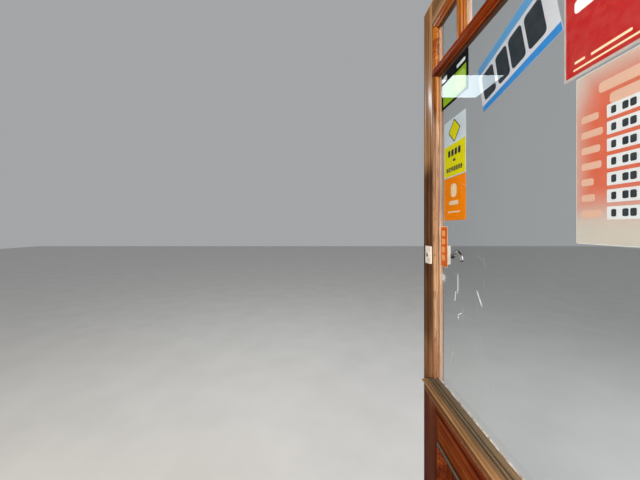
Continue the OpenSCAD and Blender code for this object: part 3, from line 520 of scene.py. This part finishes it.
# Smooth and colourless with a faint green cast, and lamp light goes straight through it
pane = add(tree, "BsdfPrincipled", {"Base Color": linear("#f9fcfc"), "Roughness": 0.0, "IOR": 1.5,
                                    "Transmission Weight": clear})
lamp_ray = add(tree, "LightPath", out=1)
through = add(tree, "BsdfTransparent", {"Color": linear("#f3f8f7")})
add(tree, "OutputMaterial", {"Surface": add(tree, "MixShader", {0: lamp_ray, 1: pane, 2: through})})
for node in ("main_pane", "top_pane_1", "top_pane_2", "top_pane_3", "top_pane_4"):
    frame["nodes"][node].data.materials.clear()
    frame["nodes"][node].data.materials.append(glass)

# Pins in the mouldings
# The mouldings are held by thin panel pins, punched just under the surface and stopped with dark filler that
# has shrunk a little. They run up both sides of the main pane, round the top lights and along the panel.
STRIP_SIDES = (73, 791)
STRIP_TOP = 2051
PIN_IN = 15.6
PIN_DEEP = 3.4
# The ovolo slopes at 19 degrees under the pins: the parts of its normal out of the leaf and to the glass
STRIP_OUT = 0.943
STRIP_LEAN = 0.332
PANEL_STRIP_FACE = -6
PANEL_PIN_YS = (128, 736)
PANEL_PIN_ZS = (613, 221)
PIN_RADIUS = 1.5
PIN_LENGTH = 1.0
PIN_RIM = 0.4
PIN_SUNK = 0.3


def copy_to(piece, matrix):
    """A copy of a piece, with a mesh of its own moved by the matrix."""
    again = bpy.data.objects.new(piece.name, piece.data.copy())
    bpy.context.scene.collection.objects.link(again)
    again.data.transform(matrix)
    return again


def join_as(name, pieces, body):
    """Joins pieces into one, which rides on a body."""
    select_only(*pieces)
    if len(pieces) > 1:
        bpy.ops.object.join()
    piece = bpy.context.object
    piece.name = piece.data.name = name
    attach(piece, body)


def facing(place, normal):
    """The matrix that stands a piece made at the origin along +Z on a place, along a normal."""
    return Matrix.Translation(place) @ Vector(normal).to_track_quat("Z", "Y").to_matrix().to_4x4()


# Stopping in grains about 1 mm wide, dry and dull
stopping, tree, place = new_material("shrunk_dark_filler")
grain = add(tree, "TexNoise", {"Vector": place, "Scale": 900, "Detail": 2})
tone = add(tree, "ValToRGB", {0: grain}, stops=[(0.35, linear("#24150c")), (0.7, linear("#4b2e1a"))])
shade = add(tree, "BsdfPrincipled", {"Base Color": tone, "Roughness": 0.75})
add(tree, "OutputMaterial", {"Surface": shade})

bpy.ops.object.select_all(action="DESELECT")
bpy.ops.mesh.primitive_cylinder_add(vertices=12, radius=PIN_RADIUS / 1000, depth=PIN_LENGTH / 1000)
pin = bpy.context.object
bpy.ops.object.mode_set(mode="EDIT")
bpy.ops.mesh.select_all(action="DESELECT")
bpy.ops.object.mode_set(mode="OBJECT")
for face in pin.data.polygons:
    face.select = face.normal.z > 0.9
bpy.ops.object.mode_set(mode="EDIT")
bpy.ops.mesh.inset(thickness=PIN_RIM / 1000)
bpy.ops.transform.translate(value=(0, 0, -PIN_SUNK / 1000))
bpy.ops.object.mode_set(mode="OBJECT")
pin.data.materials.append(stopping)
# On the ovolo of the strips, the leading side's a little higher
places = []
for z, z_leading in [(z, z + 9) for z in range(850, 1870, 127)] + [(1915, 1915), (2015, 2015)]:
    places.append((PIN_DEEP, STRIP_SIDES[0] + PIN_IN, z, (-STRIP_OUT, STRIP_LEAN, 0)))
    places.append((PIN_DEEP, STRIP_SIDES[1] - PIN_IN, z_leading, (-STRIP_OUT, -STRIP_LEAN, 0)))
for y in (130, 215, 300, 390, 478, 566, 655, 730):
    places.append((PIN_DEEP, y, STRIP_TOP - PIN_IN, (-STRIP_OUT, 0, -STRIP_LEAN)))
# On the flat top of the raised panel moulding
for y in range(156, 720, 112):
    for z in PANEL_PIN_ZS:
        places.append((PANEL_STRIP_FACE, y, z, (-1, 0, 0)))
for z in (300, 415, 530):
    for y in PANEL_PIN_YS:
        places.append((PANEL_STRIP_FACE, y, z, (-1, 0, 0)))
pins = [copy_to(pin, facing(on_leaf(x, y, z), normal)) for x, y, z, normal in places]
bpy.data.objects.remove(pin)
join_as("moulding_pins", pins, "leaf")

# Signs on the glass
# Printed vinyl sheets and stickers, stuck to the inner side of the pane so that they show through it. The
# prints are plain blocks, bars and a lozenge, each a film between its sheet and the glass.
PANE_BACK = 19.3
GLUE_T = 0.06
SHEET_T = 0.3
FILM_T = 0.08
MOST_FILMS = 4
SHEET_FACE = PANE_BACK + GLUE_T + MOST_FILMS * FILM_T
LEADING_ARRIS = 864


def vinyl(name, code, second=None, middle=None, reach=None, fade=0.04, gloss=0.0):
    """Printed vinyl: a smooth film in waves 70 mm wide, which light has faded in faint clouds 17 mm wide. Its
    glued face has little gloss or none. With a second colour, it fades to that at its reach each way from a
    middle point, and sooner towards its upper corner by the banner."""
    material, tree, place = new_material(name)
    cloud = add(tree, "TexNoise", {"Vector": place, "Scale": 60, "Detail": 3})
    colour = linear(code)
    if second:
        span = add(tree, "VectorMath", {0: place, 1: middle}, operation="SUBTRACT")
        span = add(tree, "VectorMath", {0: span, 1: reach}, operation="DIVIDE")
        corner = add(tree, "VectorMath", {0: span, 1: (0, 0.8, 0.425)}, out=1, operation="DOT_PRODUCT")
        span = add(tree, "VectorMath", {0: span}, operation="ABSOLUTE")
        sides = add(tree, "SeparateXYZ", {0: span}).node.outputs
        most = add(tree, "Math", {0: sides[1], 1: sides[2]}, operation="MAXIMUM")
        most = add(tree, "Math", {0: most, 1: corner}, operation="MAXIMUM")
        edge = add(tree, "MapRange", {0: most, 1: 0.45, 2: 1.0}, interpolation_type="SMOOTHSTEP")
        colour = add(tree, "Mix", {0: edge, 6: colour, 7: linear(second)}, out=2, data_type="RGBA")
    faded = add(tree, "MapRange", {0: cloud, 1: 0.3, 2: 0.8, 3: 0.0, 4: fade})
    colour = add(tree, "Mix", {0: faded, 6: colour, 7: linear("#e9e4da")}, out=2, data_type="RGBA")
    waves = add(tree, "TexNoise", {"Vector": place, "Scale": 14, "Detail": 1})
    bump = add(tree, "Bump", {"Height": waves, "Strength": 0.2, "Distance": 0.002})
    shade = add(tree, "BsdfPrincipled", {"Base Color": colour, "Roughness": 0.45, "Specular IOR Level": gloss,
                                         "Normal": bump})
    add(tree, "OutputMaterial", {"Surface": shade})
    return material


def film(material, s, z, corner, layer=0):
    """A flat sheet with round corners. s and z are its sides in mm, s from the leading arris and z from the
    foot, and corner is the corners' radius. Layer 0 is the sheet itself, and higher layers are prints on its
    face towards the glass."""
    thick = SHEET_T if layer == 0 else FILM_T * (layer + 1)
    x = SHEET_FACE + (SHEET_T if layer == 0 else 0) - thick / 2
    middle = on_leaf(x, LEADING_ARRIS - (s[0] + s[1]) / 2, (z[0] + z[1]) / 2)
    bpy.ops.object.select_all(action="DESELECT")
    bpy.ops.mesh.primitive_cube_add(size=1, location=middle,
                                    scale=(thick / 1000, (s[1] - s[0]) / 1000, (z[1] - z[0]) / 1000))
    bpy.ops.object.transform_apply(location=True, rotation=True, scale=True)
    sheet = bpy.context.object
    bpy.ops.object.mode_set(mode="EDIT")
    bpy.ops.mesh.select_mode(type="EDGE")
    bpy.ops.mesh.select_all(action="DESELECT")
    bpy.ops.object.mode_set(mode="OBJECT")
    for edge in sheet.data.edges:
        a, b = (sheet.data.vertices[i].co for i in edge.vertices)
        edge.select = abs(a.x - b.x) > 1e-6
    bpy.ops.object.mode_set(mode="EDIT")
    bpy.ops.mesh.bevel(offset=corner / 1000, segments=3)
    bpy.ops.object.mode_set(mode="OBJECT")
    sheet.data.materials.append(material)
    return sheet


white_vinyl = vinyl("white_vinyl", "#f4f5fc", gloss=0.12)
black_vinyl = vinyl("black_vinyl", "#08080a", fade=0.01)
slate_vinyl = vinyl("slate_printed_vinyl", "#2c333c", fade=0.02)
ink_vinyl = vinyl("ink_printed_vinyl", "#14151c", fade=0.01)
orange_vinyl = vinyl("orange_vinyl", "#fa8a00", fade=0.005)
red_orange_vinyl = vinyl("red_orange_vinyl", "#e8660a")
cream_vinyl = vinyl("cream_printed_vinyl", "#f0d9b8")
pale_orange_vinyl = vinyl("pale_orange_printed_vinyl", "#f6b878")

# The narrow push plate beside the latch: four pale blocks on red-orange, with a pale edge
parts = [film(cream_vinyl, (103, 154), (1206, 1341), 5),
         film(red_orange_vinyl, (104.5, 152), (1208, 1339), 4, 1)]
for k in range(4):
    parts.append(film(pale_orange_vinyl, (114, 136), (1227 + 27 * k, 1246 + 27 * k), 4, 2))
join_as("push_plate", parts, "leaf")

# The green sticker under the transom bar: a black border, a dark head with two pale blocks, and a paler round
# block on the green below it
green_vinyl = vinyl("green_vinyl", "#90bc14")
lime_vinyl = vinyl("lime_printed_vinyl", "#b3d35c")
parts = [film(black_vinyl, (111, 279), (1729, 1847), 3), film(green_vinyl, (124, 267), (1738, 1809), 2, 1),
         film(ink_vinyl, (117, 273), (1816, 1841), 2, 1), film(lime_vinyl, (205, 262), (1744, 1800), 14, 2),
         film(white_vinyl, (123, 150), (1820, 1836), 3, 2), film(white_vinyl, (214, 262), (1819, 1829), 2, 2)]
join_as("green_sticker", parts, "leaf")

# The camera notice: a yellow lozenge with a dark edge on white, above two rows of dark blocks on yellow
LOZENGE = on_leaf(0, LEADING_ARRIS - 198, 1638)
cool_white_vinyl = vinyl("cool_white_vinyl", "#d3ddec", gloss=0.12)
yellow_vinyl = vinyl("yellow_vinyl", "#e6dc00", fade=0.02)
parts = [film(cool_white_vinyl, (131, 265), (1497, 1678), 2),
         film(yellow_vinyl, (133, 263), (1499, 1598), 1, 1),
         film(slate_vinyl, (190, 206), (1543, 1551), 3, 2)]
for k in range(4):
    parts.append(film(slate_vinyl, (158 + 21 * k, 173 + 21 * k), (1561, 1582), 5, 2))
for k in range(8):
    parts.append(film(slate_vinyl, (148 + 12.5 * k, 156.5 + 12.5 * k), (1513, 1528), 3, 2))
lozenge = [film(slate_vinyl, (172, 224), (1612, 1664), 5, 1),
           film(yellow_vinyl, (175.5, 220.5), (1615.5, 1660.5), 4, 2)]
turn = Matrix.Translation(LOZENGE) @ Matrix.Rotation(math.radians(45), 4, "X")
for part in lozenge:
    part.data.transform(turn @ Matrix.Translation(-LOZENGE))
join_as("camera_notice", parts + lozenge, "leaf")

# The orange sticker under it: a pale upright oval, a short bar and a thin bar, one below the other
parts = [film(orange_vinyl, (131, 265), (1360, 1495), 2), film(cream_vinyl, (176, 212), (1432, 1474), 14, 1),
         film(cream_vinyl, (166, 222), (1408, 1421), 3, 1), film(cream_vinyl, (158, 232), (1384, 1388), 1, 1)]
join_as("orange_sticker", parts, "leaf")

# The banner: greyed white with a blue band along both long sides and four dark blocks, stuck on askew. It
# widens towards the hinges by a fifth.
BANNER_TILT = 12.3
BANNER_CORNER = on_leaf(0, LEADING_ARRIS - 350, 1631)
BANNER_SPREAD = 0.19
BANNER_LENGTH = 0.24
blue_vinyl = vinyl("blue_printed_vinyl", "#2b7cc6")
sky_vinyl = vinyl("sky_printed_vinyl", "#5895cc")
lilac_vinyl = vinyl("greyed_white_vinyl", "#c4c5d3", gloss=0.12)
parts = [film(lilac_vinyl, (350, 588), (1631, 1755), 2),
         film(blue_vinyl, (350.6, 587.4), (1631.6, 1646.5), 1, 1),
         film(sky_vinyl, (350.6, 587.4), (1733, 1754.4), 1, 1)]
for left, right in ((362, 408), (418, 458), (464, 506), (514, 560)):
    parts.append(film(slate_vinyl, (left, right), (1655, 1724), 8, 1))
turn = Matrix.Translation(BANNER_CORNER) @ Matrix.Rotation(math.radians(-BANNER_TILT), 4, "X")
for part in parts:
    part.data.transform(Matrix.Translation(-BANNER_CORNER))
    for vertex in part.data.vertices:
        vertex.co.z *= 1 - BANNER_SPREAD * vertex.co.y / BANNER_LENGTH
    part.data.transform(turn)
join_as("banner", parts, "leaf")

# The red poster in the upper corner: a greyed margin, a navy block above, pale bars beside and below it, and
# small ones near the foot
margin_vinyl = vinyl("greyed_margin_vinyl", "#b4aaaa")
red_vinyl = vinyl("red_printed_vinyl", "#b02628")
navy_vinyl = vinyl("navy_printed_vinyl", "#1d2a48")
parts = [film(margin_vinyl, (584, 764), (1585, 1850), 2), film(red_vinyl, (588, 763), (1590, 1848), 1, 1),
         film(navy_vinyl, (690, 762), (1770, 1847), 1, 2), film(cream_vinyl, (602, 740), (1597, 1600), 1, 2),
         film(cream_vinyl, (632, 690), (1607, 1611), 1, 2), film(white_vinyl, (612, 676), (1800, 1816), 5, 2),
         film(cream_vinyl, (604, 622), (1608, 1612), 1, 2),
         film(white_vinyl, (612, 660), (1772, 1788), 5, 2), film(white_vinyl, (604, 720), (1690, 1712), 6, 2)]
join_as("red_poster", parts, "leaf")

# The hours board: two pale bars at its head, seven rows of a pale bar and a white one with dark blocks
hours_print = vinyl("faded_hours_print", "#c8624c", second="#bdb5b1",
                    middle=on_leaf(PANE_BACK, LEADING_ARRIS - 690, 1468), reach=(1, 0.110, 0.135))
row_vinyl = vinyl("row_printed_vinyl", "#d0a898")
greyed_row_vinyl = vinyl("greyed_row_vinyl", "#d2d4de")
parts = [film(white_vinyl, (607, 764), (1312, 1581), 2),
         film(hours_print, (607.6, 763.4), (1312.6, 1580.4), 2, 1),
         film(row_vinyl, (644, 728), (1541, 1557), 5, 2), film(row_vinyl, (660, 728), (1519, 1535), 5, 2)]
for k, length in enumerate((32, 22, 20, 32, 30, 34, 28)):
    foot = 1350 + 25 * k
    parts.append(film(row_vinyl, (616, 616 + length), (foot + 4, foot + 15), 3, 2))
    parts.append(film(greyed_row_vinyl, (656, 756), (foot, foot + 19), 1.5, 2))
    for left, wide in ((662, 7), (677, 8), (687, 8), (704, 7), (719, 8), (729, 8)):
        parts.append(film(slate_vinyl, (left, left + wide), (foot + 4, foot + 15), 2, 3))
join_as("hours_board", parts, "leaf")

# Rim lock
# A cast latch case in pale enamel on the inner face, with a sprung brass bolt, a chromed lever and a keep on
# the jamb. Its cylinder goes through the stile, and the plate outside is painted over in the same pale
# enamel. Slotted screws hold the case.
ENAMEL_YELLOWED = "#ebdfd2"
ENAMEL_CLEAN = "#fff6ec"
# Stove enamel: glossy, with the orange peel of spraying 1.4 mm wide, and yellowed in clouds 22 mm wide
enamel, tree, place = new_material("pale_stove_enamel")
cloud = add(tree, "TexNoise", {"Vector": place, "Scale": 45, "Detail": 4})
tone = add(tree, "ValToRGB", {0: cloud}, stops=[(0.3, linear(ENAMEL_YELLOWED)), (0.5, linear(ENAMEL_CLEAN))])
orange_peel = add(tree, "TexNoise", {"Vector": place, "Scale": 700, "Detail": 1})
bump = add(tree, "Bump", {"Height": orange_peel, "Strength": 0.15, "Distance": 0.0003})
shade = add(tree, "BsdfPrincipled", {"Base Color": tone, "Roughness": 0.32, "Coat Weight": 0.4,
                                     "Coat Roughness": 0.1, "Normal": bump})
add(tree, "OutputMaterial", {"Surface": shade})


def worn_metal(name, codes, rough, lines=(1, 1, 1)):
    """Bare metal with marks from 2.5 mm down to 0.3 mm wide, dulled by handling in patches 17 mm wide. lines
    draws the marks out along the way in which it was polished."""
    material, tree, place = new_material(name)
    drawn = add(tree, "VectorMath", {0: place, 1: lines}, operation="MULTIPLY")
    marks = add(tree, "TexNoise", {"Vector": drawn, "Scale": 400, "Detail": 3})
    patch = add(tree, "TexNoise", {"Vector": place, "Scale": 60, "Detail": 4})
    tone = add(tree, "ValToRGB", {0: patch}, stops=[(0.35, linear(codes[0])), (0.6, linear(codes[1]))])
    dull = add(tree, "MapRange", {0: patch, 1: 0.3, 2: 0.7, 3: rough + 0.18, 4: rough})
    bump = add(tree, "Bump", {"Height": marks, "Strength": 0.15, "Distance": 0.0002})
    shade = add(tree, "BsdfPrincipled", {"Base Color": tone, "Metallic": 1.0, "Roughness": dull,
                                         "Normal": bump})
    add(tree, "OutputMaterial", {"Surface": shade})
    return material


chipped = worn_metal("chipped_to_bare_steel", ("#77736b", "#aaa69c"), 0.35)
satin = worn_metal("satin_nickel_plate", ("#c9c5bc", "#e9e6df"), 0.3, (1, 1, 0.05))
brass = worn_metal("dull_brass", ("#8c6a35", "#c7a25a"), 0.28)
chrome = worn_metal("chromed_lever", ("#d6d6d6", "#f4f4f2"), 0.12)
steel = worn_metal("dulled_hinge_steel", ("#6f6a60", "#a39d90"), 0.38, (1, 1, 0.2))
finished_solid("latch_case", "_casting", 1.2, enamel)
finished_solid("latch_keep", "_casting", 1.0, enamel)
finished_solid("cylinder_plate", "_pressing", 0.8, enamel)
finished_solid("cylinder", "_turning", 0.6, enamel)
finished_solid("latch_bolt", "_casting", 0.5, brass)
finished_solid("lever_handle", "_rod", 0.3, chrome)

# The head of a screw, made once at the origin: a low disc with a round rim and its slot cut across
SCREW_RADIUS = 3.6
SCREW_HEAD = 1.6
SCREW_SLOT_HALF = 0.4
SCREW_SLOT_DEEP = 0.9
SCREW_RIM = 0.25
bpy.ops.object.select_all(action="DESELECT")
bpy.ops.mesh.primitive_cylinder_add(vertices=20, radius=SCREW_RADIUS / 1000, depth=SCREW_HEAD / 1000)
screw = bpy.context.object
bpy.ops.object.mode_set(mode="EDIT")
for edge in (SCREW_SLOT_HALF / 1000, -SCREW_SLOT_HALF / 1000):
    bpy.ops.mesh.select_all(action="SELECT")
    bpy.ops.mesh.bisect(plane_co=(0, edge, 0), plane_no=(0, 1, 0))
bpy.ops.mesh.select_mode(type="FACE")
bpy.ops.mesh.select_all(action="DESELECT")
bpy.ops.object.mode_set(mode="OBJECT")
for face in screw.data.polygons:
    face.select = face.normal.z > 0.9 and abs(face.center.y) < SCREW_SLOT_HALF / 1000
bpy.ops.object.mode_set(mode="EDIT")
bpy.ops.mesh.extrude_region_move(TRANSFORM_OT_translate={"value": (0, 0, -SCREW_SLOT_DEEP / 1000)})
bpy.ops.object.mode_set(mode="OBJECT")
bevel = screw.modifiers.new("rim", "BEVEL")
bevel.width = SCREW_RIM / 1000
bevel.segments = 2
bpy.ops.object.modifier_apply(modifier="rim")
bpy.ops.object.shade_smooth_by_angle(angle=SMOOTH_UNDER)


def screws(name, metal, body, places, normal):
    """Screws with their heads a little proud at these places, each with its slot turned its own way."""
    heads = []
    for k, place in enumerate(places):
        spin = Matrix.Rotation(math.radians(37 * k + 20), 4, "Z")
        heads.append(copy_to(screw, facing(place, normal) @ spin))
        heads[-1].data.materials.append(metal)
    join_as(name, heads, body)


CASE_FACE = 72
CASE_HOLES = ((803, 1213), (803, 1265), (853, 1213))
screws("latch_case_screws", chipped, "leaf",
       [on_leaf(CASE_FACE, y, z) for y, z in CASE_HOLES], (1, 0, 0))

# The key way in the cylinder: a turned plug with a slot down its middle
PLUG_RADIUS = 6.5
PLUG_LENGTH = 1.2
KEY_WAY_HALF = (0.8, 4.2)
KEY_WAY_DEEP = 1.0
PLUG_PLACE = (-7.2, 815, 1239)
bpy.ops.object.select_all(action="DESELECT")
bpy.ops.mesh.primitive_cylinder_add(vertices=40, radius=PLUG_RADIUS / 1000, depth=PLUG_LENGTH / 1000)
plug = bpy.context.object
bpy.ops.object.mode_set(mode="EDIT")
for half, way in zip(KEY_WAY_HALF, (Vector((1, 0, 0)), Vector((0, 1, 0)))):
    for edge in (-half / 1000, half / 1000):
        bpy.ops.mesh.select_all(action="SELECT")
        bpy.ops.mesh.bisect(plane_co=edge * way, plane_no=way)
bpy.ops.mesh.select_mode(type="FACE")
bpy.ops.mesh.select_all(action="DESELECT")
bpy.ops.object.mode_set(mode="OBJECT")
for face in plug.data.polygons:
    inside = [abs(face.center[k]) < KEY_WAY_HALF[k] / 1000 for k in (0, 1)]
    face.select = face.normal.z > 0.9 and all(inside)
bpy.ops.object.mode_set(mode="EDIT")
bpy.ops.mesh.extrude_region_move(TRANSFORM_OT_translate={"value": (0, 0, -KEY_WAY_DEEP / 1000)})
bpy.ops.object.mode_set(mode="OBJECT")
plug.data.materials.append(satin)
upright = Matrix.Rotation(math.radians(90), 4, "Z")
plug.data.transform(facing(on_leaf(*PLUG_PLACE), (-1, 0, 0)) @ upright)
bpy.ops.object.shade_smooth_by_angle(angle=SMOOTH_UNDER)
join_as("key_way", [plug], "leaf")

# Hinges
# Three steel butt hinges, their plates let into the leaf's edge and the jamb, with four slotted countersunk
# screws to a plate. The pin goes down through the knuckles.
for height in ("top", "middle", "bottom"):
    for kind in ("frame_hinge_leaf_", "door_hinge_leaf_", "hinge_pin_"):
        finished_solid(kind + height, "_steel", 0.3, steel)
LEAF_T = 44
JAMB_FACE = -57
HINGE_MIDDLES = (1934, 1104.5, 275)
# Holes of a plate: in from the leaf's outer face, and up from the plate's middle
HINGE_HOLES = ((17, 38), (31, 13), (17, -13), (31, -38))
holes = [(x, z + up) for z in HINGE_MIDDLES for x, up in HINGE_HOLES]
screws("door_hinge_screws", chipped, "leaf", [on_leaf(x, 0, z) for x, z in holes], (0, -1, 0))
jamb_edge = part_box("hinge_jamb")[1].y
places = [Vector((JAMB_FACE / 1000, jamb_edge - (LEAF_T - x) / 1000, leaf_corner.z + z / 1000))
          for x, z in holes]
screws("frame_hinge_screws", chipped, "frame", places, (-1, 0, 0))
bpy.data.objects.remove(screw)

# Frame
# Jambs and head of varnished hardwood, with planted stops that the leaf closes against. The low threshold
# between the jambs is trodden bare and grey.
FRAME_TONES = ("#4f2811", "#8a4f25", "#b57b46", "#c9a27a")
jamb_varnish = varnished_hardwood("varnished_jamb_hardwood", "upright", FRAME_TONES, pith=(0.2, 0.02, 0),
                                  band=140, gloss=0.2)
head_varnish = varnished_hardwood("varnished_head_hardwood", "across", FRAME_TONES, pith=(2.3, 0.15, 0),
                                  band=140, gloss=0.2)
for node in ("hinge_jamb", "latch_jamb", "hinge_stop", "latch_stop"):
    finished_solid(node, "_timber", 1.2, jamb_varnish)
for node in ("frame_head", "head_stop"):
    finished_solid(node, "_timber", 1.2, head_varnish)
THRESHOLD_TONES = ("#3a2a1a", "#6e5238", "#947352", "#c9ab7f")
threshold_wood = varnished_hardwood("trodden_threshold_hardwood", "across", THRESHOLD_TONES, gloss=0.4,
                                    coat=0.15, grey=0.5)
finished_solid("threshold", "_timber", 1.0, threshold_wood)
